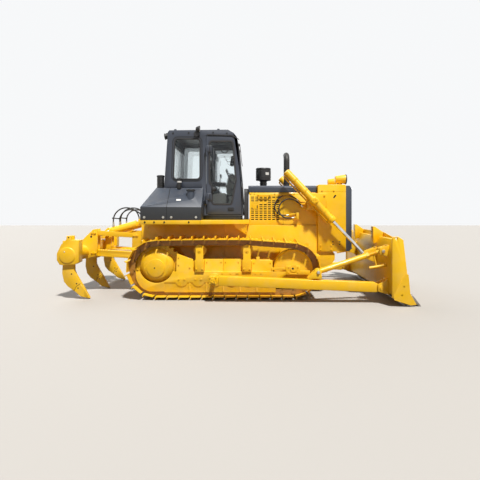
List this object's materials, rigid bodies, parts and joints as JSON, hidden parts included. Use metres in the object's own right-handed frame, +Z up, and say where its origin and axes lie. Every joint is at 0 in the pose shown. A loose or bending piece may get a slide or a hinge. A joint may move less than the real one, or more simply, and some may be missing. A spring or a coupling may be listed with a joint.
{
  "type": "crawler bulldozer with straight blade and ripper",
  "caption": "Tracked bulldozer with a closed cab, a straight blade on push arms and lift cylinders, and a rear parallelogram ripper.",
  "frame": {"origin": "on the ground at the middle of the machine's outer box", "axes": "+X forward to the blade, +Z up, the machine's right side at -Y"},
  "size_m": [6.19, 3.388, 3.2016],
  "materials": {
    "yellow_paint": "gloss enamel",
    "grey_paint": "satin enamel",
    "track_paint": "satin enamel",
    "chrome_rod": "polished",
    "black_steel": "matte",
    "engine_paint": "painted casting",
    "cab_glass": "clear",
    "seat_fabric": "woven",
    "console_plastic": "grained",
    "beacon_lens": "clear amber",
    "hose_rubber": "matte"
  },
  "bodies": {
    "root": {"track_right": "track_paint", "track_left": "track_paint", "track_frames": "yellow_paint", "sprockets": "track_paint", "idlers": "track_paint", "track_rollers": "track_paint", "carrier_rollers": "track_paint", "main_frame": "yellow_paint", "ripper_bracket": "yellow_paint", "engine_block": "engine_paint", "radiator_guard": "yellow_paint", "radiator_grille": "grey_paint", "hood_cover": "grey_paint", "hood_sides": "yellow_paint", "fenders": "yellow_paint", "tanks": "grey_paint", "tank_breathers": "black_steel", "cab_base": "grey_paint", "cab_floor": "grey_paint", "cab_sides": "grey_paint", "cab_front": "grey_paint", "cab_rear": "grey_paint", "cab_roof": "grey_paint", "cab_glass": "cab_glass", "seat": "seat_fabric", "console": "console_plastic", "exhaust_pipe": "black_steel", "pre_cleaner": "black_steel", "head_lamps": "yellow_paint", "work_lamps": "black_steel", "beacon": "beacon_lens", "lift_yokes": "yellow_paint", "hose_brackets": "yellow_paint", "lift_hose_right_low": "hose_rubber", "lift_hose_left_low": "hose_rubber", "lift_hose_right_high": "hose_rubber", "lift_hose_left_high": "hose_rubber"},
    "door_right": {"door_right": "grey_paint", "door_glass_right": "cab_glass"},
    "door_left": {"door_left": "grey_paint", "door_glass_left": "cab_glass"},
    "blade": {"mouldboard": "yellow_paint", "blade_end_plates": "yellow_paint", "blade_brackets": "yellow_paint", "blade_edge": "yellow_paint", "push_arms": "yellow_paint", "braces": "yellow_paint"},
    "lift_barrels": {"lift_barrels": "yellow_paint"},
    "lift_rods": {"lift_rods": "chrome_rod"},
    "ripper_lower_arm": {"ripper_lower_arm": "yellow_paint"},
    "ripper_upper_links": {"ripper_upper_links": "yellow_paint"},
    "ripper_carriage": {"ripper_carriage": "yellow_paint", "ripper_shanks": "yellow_paint"},
    "ripper_barrels": {"ripper_barrels": "yellow_paint", "ripper_hose_right_rod": "hose_rubber", "ripper_hose_right_head": "hose_rubber", "ripper_hose_left_rod": "hose_rubber", "ripper_hose_left_head": "hose_rubber"},
    "ripper_rods": {"ripper_rods": "chrome_rod"}
  },
  "joints": [
    {"name": "blade_lift", "type": "hinge", "parent": "root", "child": "blade", "pos_m": [-0.32, 0, 0.389], "axis": [0, -1, 0], "range_deg": [-9.1, 18.3]},
    {"name": "lift_barrel_swing", "type": "hinge", "parent": "root", "child": "lift_barrels", "pos_m": [1.484, 0, 1.743], "axis": [0, -1, 0], "range_deg": [-12.86, 25.86]},
    {"name": "lift_rod_slide", "type": "slide", "parent": "lift_barrels", "child": "lift_rods", "axis": [0.6876, 0, -0.7261], "range_m": [-0.6779, 0.3374]},
    {"name": "ripper_lift", "type": "hinge", "parent": "root", "child": "ripper_lower_arm", "pos_m": [-1.88, 0, 0.71], "axis": [0, 1, 0], "range_deg": [-21, 27]},
    {"name": "ripper_upper_swing", "type": "hinge", "parent": "root", "child": "ripper_upper_links", "pos_m": [-1.885, 0, 1.09], "axis": [0, 1, 0], "range_deg": [-21.01, 27.01]},
    {"name": "ripper_carriage_swing", "type": "hinge", "parent": "ripper_lower_arm", "child": "ripper_carriage", "pos_m": [-2.677, 0, 0.76], "axis": [0, 1, 0], "range_deg": [-27.01, 21.01]},
    {"name": "ripper_barrel_swing", "type": "hinge", "parent": "root", "child": "ripper_barrels", "pos_m": [-1.81, 0, 1.34], "axis": [0, 1, 0], "range_deg": [-16.71, 21.49]},
    {"name": "ripper_rod_slide", "type": "slide", "parent": "ripper_barrels", "child": "ripper_rods", "axis": [-0.9591, 0, -0.2831], "range_m": [-0.1315, 0.1024]},
    {"name": "door_right_swing", "type": "hinge", "parent": "root", "child": "door_right", "pos_m": [-0.49, -0.81, 2], "axis": [0, 0, -1], "range_deg": [0, 100]},
    {"name": "door_left_swing", "type": "hinge", "parent": "root", "child": "door_left", "pos_m": [-0.49, 0.81, 2], "axis": [0, 0, 1], "range_deg": [0, 100]}
  ],
  "couplings": [
    {"joint": "lift_barrel_swing", "follows": "blade_lift", "ratio": 1.4125},
    {"joint": "lift_rod_slide", "follows": "blade_lift", "m_per_rad": -2.1209},
    {"joint": "ripper_upper_swing", "follows": "ripper_lift", "ratio": 1},
    {"joint": "ripper_carriage_swing", "follows": "ripper_lift", "ratio": -1},
    {"joint": "ripper_barrel_swing", "follows": "ripper_lift", "ratio": 0.7954},
    {"joint": "ripper_rod_slide", "follows": "ripper_lift", "m_per_rad": -0.2779}
  ]
}
